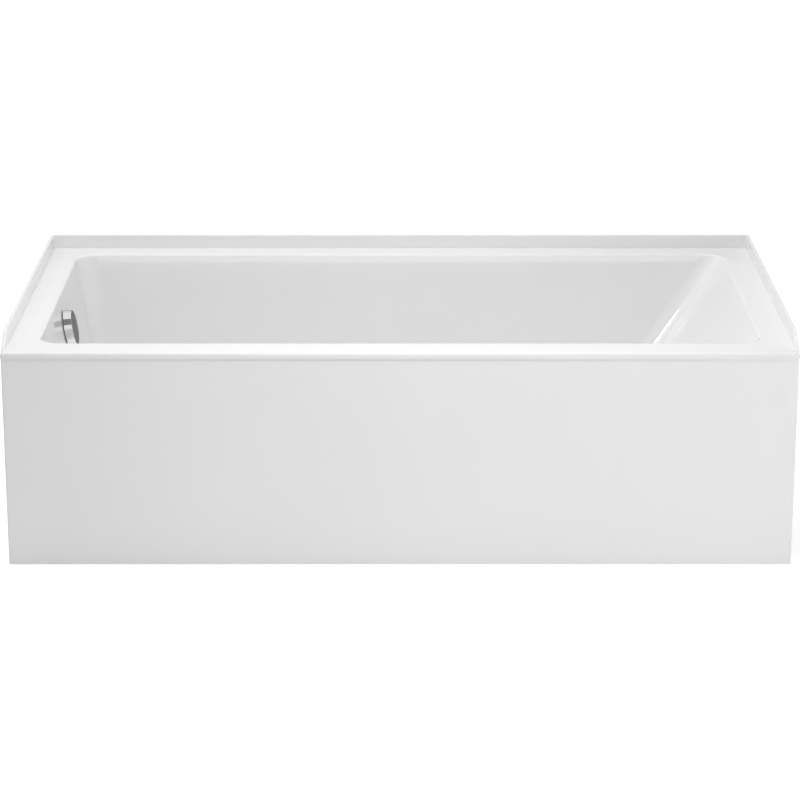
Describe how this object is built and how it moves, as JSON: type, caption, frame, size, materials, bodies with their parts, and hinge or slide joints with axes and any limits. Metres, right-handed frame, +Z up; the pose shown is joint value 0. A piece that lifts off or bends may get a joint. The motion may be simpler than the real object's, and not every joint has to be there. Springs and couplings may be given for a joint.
{
  "type": "alcove bathtub",
  "caption": "Rectangular alcove bathtub with flat front apron, tile flange on three sides, sloped backrest, and a rotary overflow knob that lifts the drain stopper by cable.",
  "frame": {"origin": "centre of the footprint on the floor", "axes": "+X along the tub from the drain end to the backrest end, +Y from the front apron to the back wall, +Z up"},
  "size_m": [1.524, 0.813, 0.46],
  "materials": {
    "acrylic_white": "high gloss white acrylic, glass-fibre backed",
    "chrome": "polished chrome plate",
    "pvc_white": "moulded white PVC",
    "abs_black": "moulded black ABS",
    "nylon_grey": "moulded grey nylon",
    "rubber_black": "black EPDM rubber",
    "timber": "planed softwood",
    "board": "moisture-resistant particle board",
    "galvanised": "galvanised sheet steel",
    "zinc_steel": "bright zinc plated steel",
    "stainless": "stainless steel",
    "brass": "turned brass"
  },
  "bodies": {
    "root": {"tub_shell": "acrylic_white", "front_apron": "acrylic_white", "apron_rail_top": "timber", "apron_rail_bottom": "timber", "apron_stiffeners": "timber", "rim_rail_back": "timber", "rim_rail_drain_end": "timber", "rim_rail_backrest_end": "timber", "base_board": "board", "cradle_rail_drain_end": "galvanised", "cradle_rail_middle": "galvanised", "cradle_rail_backrest_end": "galvanised", "cradle_screws": "zinc_steel", "foot_pads": "nylon_grey", "foot_studs": "zinc_steel", "foot_lock_nuts": "zinc_steel", "drain_shoe": "pvc_white", "shoe_gasket": "rubber_black", "drain_strainer": "chrome", "lever_pin": "stainless", "overflow_gasket": "rubber_black", "overflow_head": "pvc_white", "overflow_backplate": "chrome", "backplate_screws": "stainless", "cable_sheath": "abs_black", "cable_wire": "stainless", "overflow_pipe": "pvc_white", "waste_tee": "pvc_white", "waste_arm": "pvc_white", "tailpiece": "pvc_white", "slip_nuts": "pvc_white", "slip_washers": "rubber_black"},
    "knob": {"overflow_knob": "chrome", "knob_spindle": "stainless", "cable_drum": "nylon_grey"},
    "lever": {"lift_lever": "brass"},
    "cable_end": {"cable_plunger": "stainless"},
    "stopper": {"drain_stopper": "chrome", "stopper_seal": "rubber_black", "stopper_stem": "stainless"}
  },
  "joints": [
    {"name": "knob_turn", "type": "hinge", "parent": "root", "child": "knob", "pos_m": [-0.68475, 0.004, 0.3605], "axis": [0.9848, 0, 0.1736], "range_deg": [0, 90]},
    {"name": "cable_push", "type": "slide", "parent": "root", "child": "cable_end", "axis": [1, 0, 0], "range_m": [0, 0.00818]},
    {"name": "lever_tilt", "type": "hinge", "parent": "root", "child": "lever", "pos_m": [-0.55451, 0.004, 0.041], "axis": [0, -1, 0], "range_deg": [0, 45.01]},
    {"name": "stopper_lift", "type": "slide", "parent": "root", "child": "stopper", "axis": [0, 0, 1], "range_m": [0, 0.00996]}
  ],
  "couplings": [
    {"joint": "cable_push", "follows": "knob_turn", "m_per_rad": 0.0052},
    {"joint": "lever_tilt", "follows": "knob_turn", "ratio": 0.5},
    {"joint": "stopper_lift", "follows": "knob_turn", "m_per_rad": 0.0063342}
  ]
}
